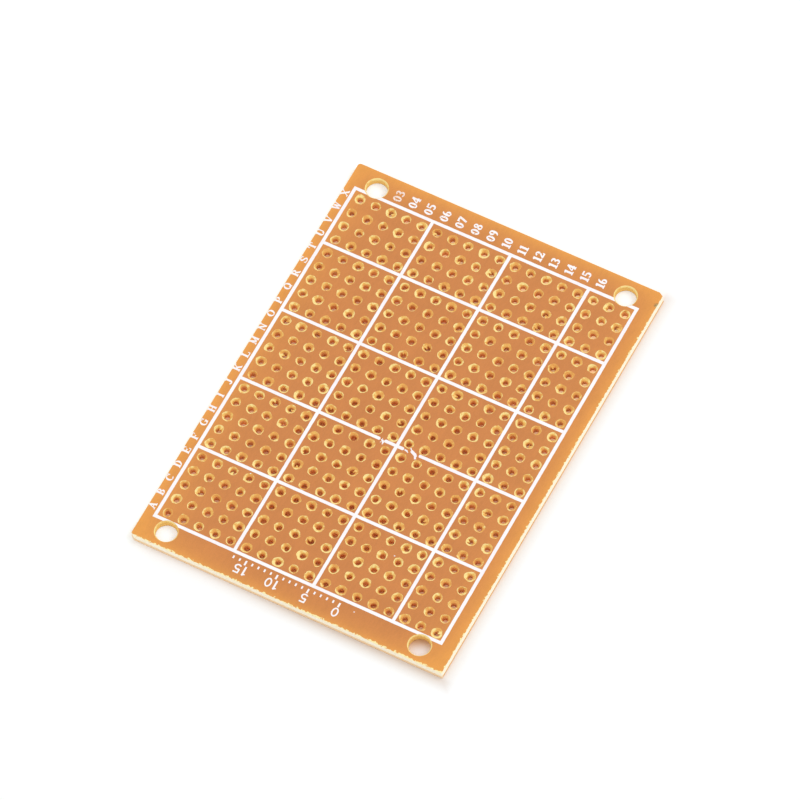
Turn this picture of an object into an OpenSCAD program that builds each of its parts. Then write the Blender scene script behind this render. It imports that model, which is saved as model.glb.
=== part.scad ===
// Punched prototype board for leaded parts: a sheet of phenolic paper laminate
// with a field of lead holes, a round copper pad under each hole and a printed
// grid that groups the holes into blocks.
//
// The copper lies on z = 0 and the print faces up. x runs across the columns,
// y along them, and the origin is the middle of the board's outline.

/* [Lead holes] */
// Columns of holes, across the board
columns = 18; // [6:1:60]
// Rows of holes, along the board
rows = 24; // [6:1:60]
// Distance between neighbouring holes, both ways
pitch = 2.54; // [2:0.01:3]
// Diameter of a lead hole
hole_d = 0.9; // [0.6:0.05:1.3]
// Width of the smaller break-out crater, on every other hole
crater_small_d = 1.48; // [1.35:0.01:1.9]
// Width of the larger break-out crater, on the holes between them
crater_large_d = 1.62; // [1.35:0.01:1.9]
// Depth of the craters under the upper face
crater_t = 0.25; // [0.1:0.05:0.6]

/* [Mounting holes] */
// Diameter of a mounting hole
mount_d = 3.2; // [2.2:0.1:3.6]
// Least laminate left between a mounting hole and the pads next to it
mount_clearance = 0.5; // [0.1:0.05:1]
// Centre of a mounting hole to the short edge beside it
mount_inset = 2.75; // [2.5:0.05:5]
// How much the torn lip widens a mounting hole at the upper face, all round
mount_lip_w = 0.17; // [0.05:0.01:0.3]
// Depth of that lip
mount_lip_t = 0.2; // [0.1:0.05:0.5]

/* [Board] */
// Thickness of the laminate
board_t = 1.2; // [0.8:0.1:2.4]
// Centres of the outer columns to the long edges, with the field in the middle
side_margin = 3.41; // [2.8:0.01:8]
// How far to the left of the board's middle the field was punched
field_offset = 0.3; // [0:0.05:0.6]
// Radius of the far left corner, the one that came out of the tool whole
far_left_r = 0.45; // [0.1:0.05:2]
// Chip off the far right corner, along the width
far_right_chip_w = 0.85; // [0.1:0.05:2]
// Chip off the far right corner, along the length
far_right_chip_l = 0.55; // [0.1:0.05:2]
// Chip off the near left corner, along the width
near_left_chip_w = 0.6; // [0.1:0.05:2]
// Chip off the near left corner, along the length
near_left_chip_l = 0.45; // [0.1:0.05:2]
// How far the tear along the right and near edges eats into the upper face
tear_w = 0.15; // [0.05:0.05:0.5]
// How far down the edge that tear reaches
tear_t = 0.7; // [0.1:0.05:0.75]

/* [Copper] */
// Diameter of a copper pad
pad_d = 1.94; // [1.6:0.02:1.98]
// Thickness of the copper foil
foil_t = 0.035; // [0.018, 0.035, 0.07]

/* [Print] */
// Width of a printed line
line_w = 0.5; // [0.2:0.05:0.6]
// Thickness of the ink
ink_t = 0.02; // [0.01:0.005:0.05]
// Columns in a printed block
block_columns = 5; // [2:1:12]
// Rows in a printed block
block_rows = 5; // [2:1:12]
// Centres of the outermost holes to the middle of the frame's line
frame_gap = 1.35; // [1.2:0.05:1.6]
// How far the print sits to the left of the holes
print_left = 0.13; // [0:0.01:0.2]
// How far the print sits beyond the holes, towards the far edge
print_far = 0.14; // [0:0.01:0.2]
// Angle by which the print is turned against the holes
print_turn = 0.13; // [-0.2:0.01:0.2]

/* [Hidden] */
$fn = 48;
board_z = foil_t;
top_z = board_z + board_t;

field_w = (columns - 1) * pitch;
field_l = (rows - 1) * pitch;

// Each mounting hole stands midway between two outer columns, and as far beyond the
// outer row as the two pads beside it ask for.
pad_to_mount = (mount_d + pad_d) / 2 + mount_clearance;
mount_x = (field_w - pitch) / 2;
mount_y = field_l / 2 + sqrt(max(0, pad_to_mount ^ 2 - (pitch / 2) ^ 2));

// The outline stands outside the field and the mounting holes.
board_w = field_w + 2 * side_margin;
board_l = 2 * (mount_y + mount_inset);

// The printed frame, and the block edges inside it, counted from the near left hole.
frame_w = field_w + 2 * frame_gap;
frame_l = field_l + 2 * frame_gap;
column_lines = [for (n = [block_columns:block_columns:columns - 1]) (n - 0.5) * pitch - field_w / 2];
row_lines = [for (n = [block_rows:block_rows:rows - 1]) (n - 0.5) * pitch - field_l / 2];

// The ink has come off on both sides of the crossing nearest the middle: each stretch
// runs along the row line, from and to, counted from the column line.
function nearest_middle(lines) = lines[floor((len(lines) - 1) / 2)];
worn_crossing = [nearest_middle(column_lines), nearest_middle(row_lines)];
worn_stretches = [[-2.65, -2], [1.15, 3.55]];

// One child at every lead hole. $large tells it whether its crater is one of the larger ones,
// which alternate with the smaller ones like the squares of a chess board.
module at_lead_holes() {
    for (column = [0:columns - 1], row = [0:rows - 1])
        let ($large = (column + row) % 2 == 1)
            translate([column * pitch - field_w / 2, row * pitch - field_l / 2]) children();
}

module at_mounting_holes() {
    for (side = [-1, 1], end = [-1, 1])
        translate([side * mount_x, end * mount_y]) children();
}

// A cutter that takes the tip off a square corner at the origin, with its body towards -x and -y.
module chip(w, l) {
    polygon([[-2 * w, l], [w, -2 * l], [w, l]]);
}

// Puts a child drawn for the far right corner at any of the four.
module at_corner(side, end) {
    translate([side * board_w / 2, end * board_l / 2])
        mirror([side < 0 ? 1 : 0, 0])
            mirror([0, end < 0 ? 1 : 0])
                children();
}

module outline() {
    difference() {
        square([board_w, board_l], center = true);
        at_corner(1, 1) chip(far_right_chip_w, far_right_chip_l);
        at_corner(-1, -1) chip(near_left_chip_w, near_left_chip_l);
        at_corner(-1, 1) difference() {
            translate([-far_left_r, -far_left_r]) square(far_left_r + 1);
            translate([-far_left_r, -far_left_r]) circle(r = far_left_r);
        }
    }
}

// What a punch takes out: a straight bore that breaks out into a cone at the upper face.
module punched(d, mouth_d, mouth_t) {
    r = d / 2;
    over = 0.1;
    flare = (mouth_d - d) / 2 / mouth_t;
    rotate_extrude() polygon([
        [0, -over],
        [r, -over],
        [r, top_z - mouth_t],
        [r + flare * (mouth_t + over), top_z + over],
        [0, top_z + over],
    ]);
}

// The skin torn off the upper arris of a broken edge that runs along y.
module edge_tear(length) {
    translate([0, 0, top_z]) rotate([90, 0, 0])
        linear_extrude(length + 2, center = true) chip(tear_w, tear_t);
}

module laminate() {
    color("peru") difference() {
        translate([0, 0, board_z]) linear_extrude(board_t) outline();
        translate([-field_offset, 0, 0]) {
            at_lead_holes() punched(hole_d, $large ? crater_large_d : crater_small_d, crater_t);
            at_mounting_holes() punched(mount_d, mount_d + 2 * mount_lip_w, mount_lip_t);
        }
        translate([board_w / 2, 0, 0]) edge_tear(board_l);
        translate([0, -board_l / 2, 0]) rotate(-90) edge_tear(board_w);
    }
}

module copper_pads() {
    color("goldenrod") translate([-field_offset, 0, 0])
        at_lead_holes() linear_extrude(foil_t) difference() {
            circle(d = pad_d);
            circle(d = hole_d);
        }
}

module block_lines() {
    difference() {
        square([frame_w + line_w, frame_l + line_w], center = true);
        square([frame_w - line_w, frame_l - line_w], center = true);
    }
    for (x = column_lines) translate([x, 0]) square([line_w, frame_l], center = true);
    for (y = row_lines) translate([0, y]) square([frame_w, line_w], center = true);
}

module worn_off() {
    if (len(column_lines) > 0 && len(row_lines) > 0)
        for (stretch = worn_stretches)
            translate([worn_crossing[0] + stretch[0], worn_crossing[1] - line_w])
                square([stretch[1] - stretch[0], 2 * line_w]);
}

module printed_grid() {
    color("white") translate([-field_offset, 0, top_z]) linear_extrude(ink_t) difference() {
        translate([-print_left, print_far]) rotate(print_turn) difference() {
            block_lines();
            worn_off();
        }
        at_lead_holes() circle(d = $large ? crater_large_d : crater_small_d);
        at_mounting_holes() circle(d = mount_d + 2 * mount_lip_w);
    }
}

laminate();
copper_pads();
printed_grid();
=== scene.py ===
"""Dresses the punched prototype board.

The laminate sheet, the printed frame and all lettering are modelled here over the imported
solids; the copper pads keep their solids and get a finish. Lengths are in metres, in the
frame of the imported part: x across the columns of holes, y along them, z out of the print.
Patterns in materials are in millimetres.
"""

import logging
import math
import random
from dataclasses import dataclass
from enum import Enum
from typing import Callable, Iterable, Sequence

import bmesh
import bpy
from mathutils import Matrix, Vector


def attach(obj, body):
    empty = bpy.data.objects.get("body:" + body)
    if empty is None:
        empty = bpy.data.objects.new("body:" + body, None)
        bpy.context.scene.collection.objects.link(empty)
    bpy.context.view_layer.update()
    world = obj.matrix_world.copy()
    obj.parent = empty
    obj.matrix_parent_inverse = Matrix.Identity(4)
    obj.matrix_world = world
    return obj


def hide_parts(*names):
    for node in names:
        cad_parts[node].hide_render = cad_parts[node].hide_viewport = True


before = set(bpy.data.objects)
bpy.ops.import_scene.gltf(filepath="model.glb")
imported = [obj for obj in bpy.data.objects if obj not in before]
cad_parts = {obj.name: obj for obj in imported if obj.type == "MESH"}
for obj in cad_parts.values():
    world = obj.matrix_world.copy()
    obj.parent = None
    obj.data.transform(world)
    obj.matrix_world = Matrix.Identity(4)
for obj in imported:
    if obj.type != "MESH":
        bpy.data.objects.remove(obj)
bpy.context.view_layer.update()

MM = 0.001
NEAR = 0.001 * MM
ROOT = "root"
Place = tuple[float, float, float]
Colour = tuple[int, int, int]
Piece = bpy.types.Object

log = logging.getLogger("board")


# sizes


@dataclass(frozen=True)
class Board:
    """Sizes of the board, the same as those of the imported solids."""

    columns: int = 18
    rows: int = 24
    pitch: float = 2.54 * MM
    hole_r: float = 0.45 * MM
    crater_small_r: float = 0.74 * MM
    crater_large_r: float = 0.81 * MM
    crater_t: float = 0.25 * MM
    mount_r: float = 1.6 * MM
    mount_x: float = 20.32 * MM
    mount_y: float = 32.005 * MM
    lip_w: float = 0.17 * MM
    lip_t: float = 0.2 * MM
    width: float = 50.0 * MM
    length: float = 69.51 * MM
    foot_z: float = 0.035 * MM
    top_z: float = 1.235 * MM
    ink_t: float = 0.02 * MM
    field_x: float = -0.3 * MM

    def hole(self, column: int, row: int) -> tuple[float, float]:
        """Place of a lead hole, counted from 0 at the near left one.

        Args:
            column: the hole's column.
            row: the hole's row.

        Returns:
            The place of its axis.
        """
        first_x = self.field_x - (self.columns - 1) * self.pitch / 2
        first_y = -(self.rows - 1) * self.pitch / 2
        return first_x + column * self.pitch, first_y + row * self.pitch

    def mounts(self) -> list[tuple[float, float]]:
        """Places of the four mounting holes."""
        ends = (-self.mount_y, self.mount_y)
        return [(self.field_x + x, y) for x in (-self.mount_x, self.mount_x) for y in ends]

    def off_row(self, value: float, first: float, count: int) -> float:
        """How far a value lies from the nearest hole of a row or column that starts at first."""
        steps = (value - first) / self.pitch
        return (steps - min(max(round(steps), 0), count - 1)) * self.pitch

    def off_lead_hole(self, place: Vector) -> float:
        """Distance from a place to the axis of the nearest lead hole."""
        x, y = self.hole(0, 0)
        return math.hypot(self.off_row(place.x, x, self.columns), self.off_row(place.y, y, self.rows))

    def off_mount(self, place: Vector) -> float:
        """Distance from a place to the axis of the nearest mounting hole."""
        return min(math.hypot(place.x - x, place.y - y) for x, y in self.mounts())


BOARD = Board()
# half the board's sides, for the materials
HALF_W = BOARD.width / 2 / MM
HALF_L = BOARD.length / 2 / MM


# modelling by hand


def only(*pieces: Piece) -> None:
    """Selects these objects and nothing else, in object mode, the first one active.

    Args:
        pieces: what is selected; without any, nothing is.
    """
    if bpy.context.object and bpy.context.object.mode != "OBJECT":
        bpy.ops.object.mode_set(mode="OBJECT")
    bpy.ops.object.select_all(action="DESELECT")
    for piece in pieces:
        piece.select_set(True)
    if pieces:
        bpy.context.view_layer.objects.active = pieces[0]


def edit(piece: Piece) -> None:
    """Opens a piece in edit mode."""
    only(piece)
    bpy.ops.object.mode_set(mode="EDIT")


def close() -> None:
    """Leaves edit mode."""
    bpy.ops.object.mode_set(mode="OBJECT")


def settle(piece: Piece) -> None:
    """Takes a piece's place, turn and scale into its mesh."""
    only(piece)
    bpy.ops.object.transform_apply(location=True, rotation=True, scale=True)


def join(*pieces: Piece) -> Piece:
    """Makes these objects one.

    Args:
        pieces: one object or more.

    Returns:
        The first of them, with the others in it.
    """
    only(*pieces)
    if len(pieces) > 1:
        bpy.ops.object.join()
    return bpy.context.object


def add_square(size: float = 1.0, **settings: object) -> Piece:
    """A flat square face as a new object."""
    only()
    bpy.ops.mesh.primitive_plane_add(size=size, **settings)
    return bpy.context.object


def add_ring(radius: float, vertices: int, centre: Place) -> Piece:
    """A circle of edges, open in edit mode.

    Args:
        radius: the circle's radius.
        vertices: its number of corners.
        centre: its centre.

    Returns:
        The new object.
    """
    only()
    bpy.ops.mesh.primitive_circle_add(vertices=vertices, radius=radius, location=centre)
    piece = bpy.context.object
    settle(piece)
    edit(piece)
    return piece


def pick(kind: str, test: Callable[[object], bool]) -> int:
    """Selects what passes a test in the mesh that is open in edit mode.

    Args:
        kind: VERT, EDGE or FACE.
        test: says whether an element of the mesh is wanted.

    Returns:
        How many elements are selected.
    """
    bpy.ops.mesh.select_mode(type=kind)
    bpy.ops.mesh.select_all(action="DESELECT")
    mesh = bmesh.from_edit_mesh(bpy.context.object.data)
    kinds = {"VERT": mesh.verts, "EDGE": mesh.edges, "FACE": mesh.faces}
    found = [item for item in kinds[kind] if test(item)]
    for item in found:
        item.select_set(True)
    bmesh.update_edit_mesh(bpy.context.object.data)
    return len(found)


def pick_all() -> None:
    """Selects the whole mesh that is open in edit mode."""
    bpy.ops.mesh.select_all(action="SELECT")


def level(vert: bmesh.types.BMVert, z: float) -> bool:
    """Whether a vertex lies at a height."""
    return abs(vert.co.z - z) < NEAR


def move(x: float = 0.0, y: float = 0.0, z: float = 0.0) -> None:
    """Moves what is selected."""
    bpy.ops.transform.translate(value=(x, y, z))


def scale(x: float, y: float, z: float, about: Place = (0, 0, 0)) -> None:
    """Scales what is selected about a point."""
    bpy.ops.transform.resize(value=(x, y, z), center_override=about)


def flatten(axis: int, at: float) -> None:
    """Presses what is selected flat, onto a plane across an axis."""
    scale(*(float(i != axis) for i in range(3)), about=tuple(at * (i == axis) for i in range(3)))


def extrude(dz: float) -> None:
    """Extrudes what is selected along z, and leaves the new part selected."""
    bpy.ops.mesh.extrude_region_move(TRANSFORM_OT_translate={"value": (0, 0, dz)})


def sink(radius: float, centre: Place, rings: Iterable[tuple[float, float]]) -> None:
    """Extrudes the selected circle down a hole.

    Args:
        radius: the circle's radius.
        centre: the circle's centre.
        rings: radius and height of each further ring.
    """
    x, y, z = centre
    for next_radius, next_z in rings:
        extrude(next_z - z)
        grown = next_radius / radius
        scale(grown, grown, 1, (x, y, next_z))
        radius, z = next_radius, next_z


def stray(reach: float, seed: int) -> None:
    """Moves each selected vertex at random."""
    bpy.ops.transform.vertex_random(offset=reach, seed=seed)


def merge(threshold: float) -> None:
    """Merges points of the open mesh that lie together."""
    pick_all()
    bpy.ops.mesh.remove_doubles(threshold=threshold)


def face_outwards() -> None:
    """Turns all faces of the open mesh outwards."""
    pick_all()
    bpy.ops.mesh.normals_make_consistent(inside=False)


def wander(piece: Piece, reach: float, grain: float, name: str, group: str = "") -> None:
    """Lets the outlines of a flat piece wander sideways, by two displace modifiers.

    Args:
        piece: the piece, in object mode.
        reach: how far a point may move to each side.
        grain: size of the waves.
        name: a name for the two noise patterns, which pieces with the same name share.
        group: the vertex group that may move, or all points.
    """
    only(piece)
    for axis, basis in (("X", "ORIGINAL_PERLIN"), ("Y", "IMPROVED_PERLIN")):
        label = f"{name}_{axis}"
        pattern = bpy.data.textures.get(label) or bpy.data.textures.new(label, "CLOUDS")
        pattern.noise_scale = grain
        pattern.noise_basis = basis
        pattern.noise_depth = 2
        modifier = piece.modifiers.new(f"wander_{axis}", "DISPLACE")
        modifier.texture = pattern
        modifier.texture_coords = "LOCAL"
        modifier.direction = axis
        modifier.strength = 2 * reach
        modifier.mid_level = 0.5
        modifier.vertex_group = group
        bpy.ops.object.modifier_apply(modifier=modifier.name)


def finish_piece(piece: Piece, name: str, replaces: str = "", angle: float = 35.0) -> None:
    """Names a piece, smooths its shading and ties it to the frame.

    Args:
        piece: the finished piece, its place in its mesh.
        name: the piece's name.
        replaces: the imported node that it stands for, if any.
        angle: edges sharper than this, in degrees, stay sharp.
    """
    piece.name = piece.data.name = name
    settle(piece)
    bpy.ops.object.shade_smooth_by_angle(angle=math.radians(angle))
    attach(piece, ROOT)
    if replaces:
        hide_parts(replaces)
    sides = [side / MM for side in piece.dimensions]
    log.info("%s: %d faces, %.2f by %.2f by %.3f mm", name, len(piece.data.polygons), *sides)


# nodes


def linear(colour: Colour) -> tuple[float, float, float, float]:
    """A colour as seen, 0 to 255, in the linear values that sockets take."""
    parts = [c / 255 for c in colour]
    return (*(p / 12.92 if p <= 0.04045 else ((p + 0.055) / 1.055) ** 2.4 for p in parts), 1.0)


def operation(name: str, swapped: bool = False) -> Callable[..., "Value"]:
    """A method that adds one math node.

    Args:
        name: the node's operation.
        swapped: whether the other number comes first.

    Returns:
        The method.
    """

    def method(self: "Value", *others: object) -> "Value":
        """Adds the node."""
        return self.nodes.math(name, *((*others, self) if swapped else (self, *others)))

    return method


class Value:
    """What one socket puts out. Arithmetic on it adds math nodes to its tree."""

    def __init__(self, nodes: "Nodes", socket: bpy.types.NodeSocket) -> None:
        """Keeps the socket and the nodes of its tree."""
        self.nodes = nodes
        self.socket = socket

    __add__ = __radd__ = operation("ADD")
    __sub__ = operation("SUBTRACT")
    __rsub__ = operation("SUBTRACT", True)
    __mul__ = __rmul__ = operation("MULTIPLY")
    __truediv__ = operation("DIVIDE")
    at_most = operation("MINIMUM")
    at_least = operation("MAXIMUM")
    modulo = operation("MODULO")
    rounded = operation("ROUND")
    magnitude = operation("ABSOLUTE")
    root = operation("SQRT")
    power_of_e = operation("EXPONENT")

    def clamped(self) -> "Value":
        """The same math node's result, held between 0 and 1."""
        self.socket.node.use_clamp = True
        return self

    def out(self, label: str) -> "Value":
        """Another output of the same node."""
        return Value(self.nodes, self.socket.node.outputs[label])

    def parts(self) -> list["Value"]:
        """The x, y and z of a vector."""
        first = self.nodes.add("SeparateXYZ", self)
        return [first.out(axis) for axis in "XYZ"]

    def stretched(self, x: float, y: float, z: float) -> "Value":
        """A place whose axes are stretched, so that a pattern on it is drawn out."""
        return self.nodes.add("VectorMath", self, (x, y, z), operation="MULTIPLY")

    def noise(self, size: float, detail: float = 2.0, warp: float = 0.0) -> "Value":
        """Noise round 0.5 at a place, with patches of about a size."""
        given = {"Vector": self, "Scale": 1 / size, "Detail": detail, "Distortion": warp}
        return self.nodes.add("TexNoise", given=given)

    def step(self, start: object, end: object) -> "Value":
        """A smooth step from 0 at start to 1 at end."""
        return self.nodes.add("MapRange", self, start, end, interpolation_type="SMOOTHSTEP")

    def ramp(self, start: float, end: float, low: float, high: float) -> "Value":
        """A straight ramp from low at start to high at end."""
        return self.nodes.add("MapRange", self, start, end, low, high)


class Nodes:
    """Adds nodes to one tree and links them."""

    def __init__(self, tree: bpy.types.NodeTree) -> None:
        """Keeps the tree that the nodes go into."""
        self.tree = tree

    def put(self, socket: bpy.types.NodeSocket, value: object) -> None:
        """Links a value to a socket, or sets the socket's number, colour or vector.

        Args:
            socket: an input.
            value: what goes into it; a colour is given as it is seen.
        """
        if isinstance(value, Value):
            self.tree.links.new(value.socket, socket)
        elif socket.type == "RGBA":
            socket.default_value = linear(value)
        else:
            socket.default_value = value

    def add(
        self, kind: str, *values: object, given: dict | None = None, out: int | str = 0, **settings: object
    ) -> Value:
        """Adds a node.

        Args:
            kind: the node's type, without its ShaderNode prefix.
            values: what goes into its first inputs.
            given: what goes into other inputs, by name or number.
            out: the output that is wanted first.
            settings: properties of the node.

        Returns:
            That output.
        """
        node = self.tree.nodes.new("ShaderNode" + kind)
        for key, value in settings.items():
            setattr(node, key, value)
        for key, value in {**dict(enumerate(values)), **(given or {})}.items():
            self.put(node.inputs[key], value)
        return Value(self, node.outputs[out])

    def math(self, name: str, *values: object) -> Value:
        """A math node's result."""
        return self.add("Math", *values, operation=name)

    def mix(self, amount: object, first: object, second: object, blend: str = "MIX") -> Value:
        """A mix of two colours."""
        given = {0: amount, 6: first, 7: second}
        return self.add("Mix", given=given, out=2, data_type="RGBA", blend_type=blend)

    def seen(self) -> Value:
        """1 where the camera or a glossy surface looks, and 0 for the light on the object."""
        camera = self.add("LightPath", out="Is Camera Ray")
        return (camera + camera.out("Is Glossy Ray")).clamped()


# effects that several materials share


@dataclass(frozen=True)
class Effect:
    """A node group: its name, its inputs besides the place, and what makes its outputs."""

    name: str
    inputs: tuple[str, ...]
    make: Callable[..., dict[str, Value]]

    def tree(self) -> bpy.types.NodeTree:
        """The node group, built at its first use.

        Returns:
            The group.
        """
        if self.name in bpy.data.node_groups:
            return bpy.data.node_groups[self.name]
        tree = bpy.data.node_groups.new(self.name, "ShaderNodeTree")
        tree.interface.new_socket("Place", in_out="INPUT", socket_type="NodeSocketVector")
        for label in self.inputs:
            tree.interface.new_socket(label, in_out="INPUT", socket_type="NodeSocketFloat")
        nodes = Nodes(tree)
        source = tree.nodes.new("NodeGroupInput")
        outputs = self.make(*(Value(nodes, source.outputs[label]) for label in ("Place", *self.inputs)))
        for label in outputs:
            tree.interface.new_socket(label, in_out="OUTPUT", socket_type="NodeSocketFloat")
        sink_node = tree.nodes.new("NodeGroupOutput")
        for label, value in outputs.items():
            nodes.put(sink_node.inputs[label], value)
        return tree


def hole_steps(place: Value) -> list[Value]:
    """How many pitches a place lies beyond the near left lead hole, across and along."""
    firsts = BOARD.hole(0, 0)
    return [(value - first / MM) / (BOARD.pitch / MM) for value, first in zip(place.parts(), firsts)]


def hole_field(place: Value) -> dict[str, Value]:
    """Tells of the nearest lead hole.

    Args:
        place: a place.

    Returns:
        The distance to its axis, a number of its own, and how much wider than the smaller ones its crater is.
    """
    steps = hole_steps(place)
    lasts = (BOARD.columns - 1, BOARD.rows - 1)
    counts = [step.rounded().at_least(0).at_most(last) for step, last in zip(steps, lasts)]
    across, along = [(step - count) * (BOARD.pitch / MM) for step, count in zip(steps, counts)]
    cell = place.nodes.add("CombineXYZ", *counts)
    wider = (BOARD.crater_large_r - BOARD.crater_small_r) / MM
    return {
        "Distance": (across * across + along * along).root(),
        "Own": place.nodes.add("TexWhiteNoise", cell, out="Value", noise_dimensions="2D"),
        "Wider": (counts[0] + counts[1]).modulo(2) * wider,
    }


def side_of_hole(place: Value, across: Value, along: Value) -> dict[str, Value]:
    """How far a point at a lead hole's rim lies to one side of the hole's axis.

    Args:
        place: a place.
        across: the side's direction, along x.
        along: the side's direction, along y.

    Returns:
        An amount from -1 to 1.
    """
    rim = 0.7
    offs = [(step - step.rounded()) * (BOARD.pitch / MM / rim) for step in hole_steps(place)]
    return {"Amount": offs[0] * across + offs[1] * along}


def pressed_paper(place: Value, contrast: Value) -> dict[str, Value]:
    """Mottling and fibres of the pressed paper.

    Args:
        place: a place.
        contrast: how strong the mottling is.

    Returns:
        A tone round 0.5 and a height.
    """
    broad = place.noise(4.0, 3.0)
    fibres = place.stretched(1.0, 0.3, 1.0).noise(0.35, 3.0, 0.6)
    fine = place.noise(0.16)
    tone = (broad * 0.4 + fibres * 0.3 + fine * 0.3 - 0.5) * contrast + 0.5
    return {"Tone": tone, "Height": fine * 0.5 + fibres}


def lit_margin(place: Value) -> dict[str, Value]:
    """Painted light: how much lighter and more golden the sheet is drawn, most along its edges and in its
    near corners, where light passes through it.

    Args:
        place: a place.

    Returns:
        An amount from 0 to 1.
    """
    x, y, _ = place.parts()
    right, left, far, near = HALF_W - x, HALF_W + x, HALF_L - y, HALF_L + y
    brown = 1.0
    for distance, reach in ((right, 1.9), (left, 2.6), (far, 1.9), (near, 1.0)):
        brown = (1.0 - (distance / -reach).power_of_e()) * brown
    corner = ((right.at_most(left) + near) / -4.0).power_of_e() * 1.6
    return {"Amount": (1.0 - brown * (1.0 - corner.clamped())).clamped()}


HOLES = Effect("hole field", (), hole_field)
# painted light on one side of each crater
SIDE_LIGHT = Effect("side of hole", ("Across", "Along"), side_of_hole)
PAPER = Effect("pressed paper", ("Contrast",), pressed_paper)
# painted light along the sheet's edges and near corners
LIT_MARGIN = Effect("lit margin", (), lit_margin)


# finishes


class Surface(Nodes):
    """The nodes of one material, with its shader and the place on the piece."""

    def __init__(self, finish: "Finish") -> None:
        """Makes the material, with the finish's plain numbers on the shader's own sockets.

        Args:
            finish: the finish that it is for.
        """
        self.material = bpy.data.materials.new(finish.name)
        self.material.use_nodes = True
        super().__init__(self.material.node_tree)
        self.shader = self.tree.nodes["Principled BSDF"]
        self.relief = finish.relief
        self.give("Roughness", finish.roughness)
        self.give("Specular IOR Level", finish.specular)
        self.give("Metallic", finish.metallic)
        metres = self.add("TexCoord", out="Object")
        self.place = self.add("VectorMath", metres, given={"Scale": 1 / MM}, operation="SCALE")

    def give(self, label: str, value: object) -> None:
        """Feeds one of the shader's sockets."""
        self.put(self.shader.inputs[label], value)

    def share(self, effect: Effect, *values: object) -> Value:
        """A shared effect's first output, with the effect's own values."""
        return self.add("Group", self.place, *values, node_tree=effect.tree())

    def emboss(self, height: Value, strength: float = 1.0) -> None:
        """Feeds a height into the shader's normal."""
        given = {"Strength": strength, "Distance": self.relief, "Height": height}
        self.give("Normal", self.add("Bump", given=given))


@dataclass(frozen=True)
class Finish:
    """What all finishes share: a name, gloss and the depth of the fine relief."""

    name: str
    roughness: float = 0.5
    specular: float = 0.4
    metallic: float = 0.0
    relief: float = 0.01 * MM

    def build(self) -> bpy.types.Material:
        """Makes the material.

        Returns:
            The material.
        """
        surface = Surface(self)
        self.paint(surface)
        return surface.material

    def paint(self, surface: Surface) -> None:
        """Adds the pattern, which is each finish's own."""
        raise NotImplementedError


@dataclass(frozen=True)
class SkinFinish(Finish):
    """The laminate's pressed skin, with painted light that makes it lighter and more golden towards the
    edges, and ragged pale paper round each hole.
    """

    name: str = "laminate_skin"
    roughness: float = 0.42
    inner: Colour = (206, 130, 68)
    # painted light: the sheet's colour along the edges, where light comes through it
    outer: Colour = (236, 160, 72)
    torn: Colour = (250, 212, 132)
    frayed: Colour = (255, 240, 172)
    stain: Colour = (138, 116, 72)
    stain_at: Place = (24.65, 32.55, 1.235)

    def paint(self, surface: Surface) -> None:
        """Adds the paper's mottling, the painted light towards the edges, the pale rings, the frayed edges
        and the stain.

        Args:
            surface: the material's nodes.
        """
        place = surface.place
        x, y, z = place.parts()
        paper = surface.share(PAPER, 1.0)
        # painted light: lighter and more golden along the edges and near corners
        colour = surface.mix(surface.share(LIT_MARGIN), self.inner, self.outer)
        light = paper.ramp(0.3, 0.7, 0.9, 1.1)
        colour = surface.mix(1.0, colour, surface.add("CombineColor", light, light, light), "MULTIPLY")
        holes = surface.share(HOLES)
        jagged = (place.noise(0.16, 3.0, 0.5) - 0.5) * 0.24
        ring_r = holes.out("Wider") + (BOARD.crater_small_r / MM - 0.06) + jagged
        colour = surface.mix((holes - ring_r).step(0.04, -0.02), colour, self.torn)
        frayed = (place.noise(0.45, 3.0) - 0.44) * 1.2
        inward = (y + (HALF_L - 0.19)).at_most(HALF_W - 0.09 - x)
        torn_off = (inward - frayed).step(0.05, -0.03) * z.step(0.5, 1.0)
        colour = surface.mix(torn_off, colour, self.frayed)
        away = surface.add("VectorMath", place, self.stain_at, out="Value", operation="DISTANCE")
        spot = (away + place.noise(0.3) * 0.7).step(0.85, 0.4) * 0.8
        surface.give("Base Color", surface.mix(spot, colour, self.stain))
        surface.give("Roughness", paper.ramp(0.3, 0.7, self.roughness - 0.06, self.roughness + 0.1))
        surface.emboss(paper.out("Height"), 0.35)


@dataclass(frozen=True)
class TornFinish(Finish):
    """Paper that the punch has torn: pale yellow at the rim and deeper gold further down, partly its own
    colour and partly painted shade in the crater, and painted light that makes one side of each crater paler.
    """

    name: str = "laminate_torn"
    roughness: float = 0.75
    specular: float = 0.25
    relief: float = 0.04 * MM
    pale: Colour = (255, 232, 156)
    gold: Colour = (242, 192, 104)
    deep: Colour = (236, 172, 92)
    # painted light: the direction from a hole's axis to the side that is drawn paler, as if lit
    lean: tuple[float, float] = (-0.35, -0.94)

    def paint(self, surface: Surface) -> None:
        """Adds shreds and patches, by depth with painted shade further down, and the painted light on one
        side of the hole.

        Args:
            surface: the material's nodes.
        """
        place = surface.place
        # darker with depth: partly the torn paper's own colour, partly painted shade down in the crater
        depth = (BOARD.top_z / MM - place.parts()[2]) / (BOARD.crater_t / MM)
        shreds = place.noise(0.12, 3.0, 0.8)
        own = (surface.share(HOLES).out("Own") - 0.45) * 0.8
        patches = (place.noise(0.6, 1.0, 0.3) - 0.5) * 3.0
        # painted light: the side toward the near left, which faces the lamp, is drawn paler
        paler_side = surface.share(SIDE_LIGHT, *self.lean) * -0.42
        tone = depth + (shreds - 0.5 + own + patches) + paler_side
        colour = surface.mix(tone.step(0.0, 0.6), self.pale, self.gold)
        surface.give("Base Color", surface.mix(tone.step(0.6, 1.1), colour, self.deep))
        surface.emboss(shreds)


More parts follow.
